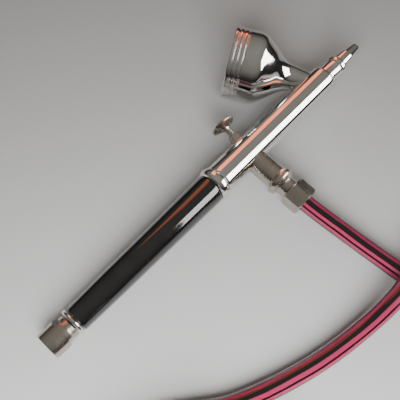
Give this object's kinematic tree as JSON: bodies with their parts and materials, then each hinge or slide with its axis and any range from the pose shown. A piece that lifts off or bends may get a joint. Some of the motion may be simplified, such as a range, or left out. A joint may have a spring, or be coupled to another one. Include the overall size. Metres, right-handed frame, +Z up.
{
  "type": "airbrush gun",
  "caption": "Gravity-feed dual-action airbrush gun with a leaning paint cup, black tapered handle, air valve and striped air hose, lying on its side.",
  "frame": {"origin": "on the table, under the middle of the gun as it lies on its side", "axes": "+X along the gun from tail to nozzle, +Y towards the cup and trigger side, +Z up from the table"},
  "size_m": [0.2196, 0.1604, 0.0285],
  "materials": {
    "chrome": "polished",
    "satin_nickel": "satin",
    "steel_parts": "fine ground",
    "brass_parts": "turned",
    "black_lacquer": "gloss lacquer",
    "white_seal": "matt",
    "black_rubber": "matt",
    "hose_sleeve": "glossy, with dark lengthwise stripes"
  },
  "bodies": {
    "gun_body": {"main_body": "chrome", "paint_cup": "chrome", "fluid_nozzle": "brass_parts", "nozzle_seal": "white_seal", "needle_packing": "white_seal", "packing_screw": "brass_parts", "valve_case": "satin_nickel", "valve_screw": "brass_parts", "valve_spring": "steel_parts", "needle_spring": "steel_parts", "hose_tail": "brass_parts", "hose_tube": "hose_sleeve", "hose_coil": "hose_sleeve", "hose_lead": "hose_sleeve", "hose_tie": "black_rubber", "end_ferrule": "satin_nickel"},
    "air_valve": {"valve_plunger": "brass_parts", "valve_seal": "black_rubber"},
    "trigger": {"trigger": "satin_nickel"},
    "back_lever": {"back_lever": "steel_parts"},
    "needle_group": {"needle": "steel_parts", "needle_tube": "satin_nickel"},
    "needle_chuck": {"needle_chuck": "satin_nickel"},
    "spring_case": {"spring_case": "satin_nickel"},
    "handle": {"handle": "black_lacquer", "tail_ring": "chrome"},
    "needle_stop": {"needle_stop": "satin_nickel"},
    "preset_knob": {"preset_knob": "satin_nickel"},
    "nozzle_cap": {"nozzle_cap": "chrome"},
    "needle_cap": {"needle_cap": "chrome"},
    "hose_nut": {"hose_nut": "satin_nickel"},
    "end_nut": {"end_nut": "satin_nickel"}
  },
  "joints": [
    {"name": "air_valve_press", "type": "slide", "parent": "gun_body", "child": "air_valve", "axis": [0.007, -0.99, -0.1407], "range_m": [0, 0.0015], "stiffness_N_per_m": 900, "springref_m": -0.0015, "deforming": ["valve_spring"]},
    {"name": "trigger_pull_back", "type": "hinge", "parent": "air_valve", "child": "trigger", "pos_m": [0.01227, -0.00703, 0.00894], "axis": [-0.0492, -0.1409, 0.9888], "range_deg": [0, 15], "stiffness_Nm_per_rad": 0.03, "springref_deg": -17.19},
    {"name": "back_lever_rock", "type": "hinge", "parent": "gun_body", "child": "back_lever", "pos_m": [0.00938, -0.00713, 0.00879], "axis": [-0.0492, -0.1409, 0.9888], "range_deg": [0, 15.5]},
    {"name": "needle_travel", "type": "slide", "parent": "gun_body", "child": "needle_group", "axis": [-0.9988, 0, -0.0497], "range_m": [0, 0.002], "deforming": ["needle_spring"]},
    {"name": "chuck_turn", "type": "hinge", "parent": "needle_group", "child": "needle_chuck", "pos_m": [-0.03588, -0.00485, 0.00686], "axis": [-0.9988, 0, -0.0497], "range_deg": [0, 1080]},
    {"name": "spring_case_turn", "type": "hinge", "parent": "gun_body", "child": "spring_case", "pos_m": [-0.0199, -0.00485, 0.00765], "axis": [-0.9988, 0, -0.0497], "range_deg": [0, 1080]},
    {"name": "handle_turn", "type": "hinge", "parent": "gun_body", "child": "handle", "pos_m": [-0.01591, -0.00485, 0.00785], "axis": [-0.9988, 0, -0.0497], "range_deg": [0, 1440]},
    {"name": "preset_travel", "type": "slide", "parent": "handle", "child": "needle_stop", "axis": [-0.9988, 0, -0.0497], "range_m": [0, 0.0021]},
    {"name": "preset_turn", "type": "hinge", "parent": "needle_stop", "child": "preset_knob", "pos_m": [-0.07484, -0.00485, 0.00492], "axis": [-0.9988, 0, -0.0497], "range_deg": [0, 1080]},
    {"name": "nozzle_cap_turn", "type": "hinge", "parent": "gun_body", "child": "nozzle_cap", "pos_m": [0.06, -0.00485, 0.01163], "axis": [0.9988, 0, 0.0497], "range_deg": [0, 1080]},
    {"name": "needle_cap_turn", "type": "hinge", "parent": "nozzle_cap", "child": "needle_cap", "pos_m": [0.06998, -0.00485, 0.01213], "axis": [0.9988, 0, 0.0497], "range_deg": [0, 1080]},
    {"name": "hose_nut_turn", "type": "hinge", "parent": "gun_body", "child": "hose_nut", "pos_m": [0.01242, -0.02762, 0.00602], "axis": [0.007, -0.99, -0.1407], "range_deg": [0, 1080]},
    {"name": "end_nut_turn", "type": "hinge", "parent": "gun_body", "child": "end_nut", "pos_m": [-0.0227, -0.1175, 0.00705], "axis": [1, 0, 0], "continuous": true}
  ],
  "couplings": [
    {"joint": "back_lever_rock", "follows": "trigger_pull_back", "ratio": 1},
    {"joint": "needle_travel", "follows": "trigger_pull_back", "m_per_rad": 0.00725},
    {"joint": "preset_turn", "follows": "preset_travel", "rad_per_m": 8975}
  ]
}
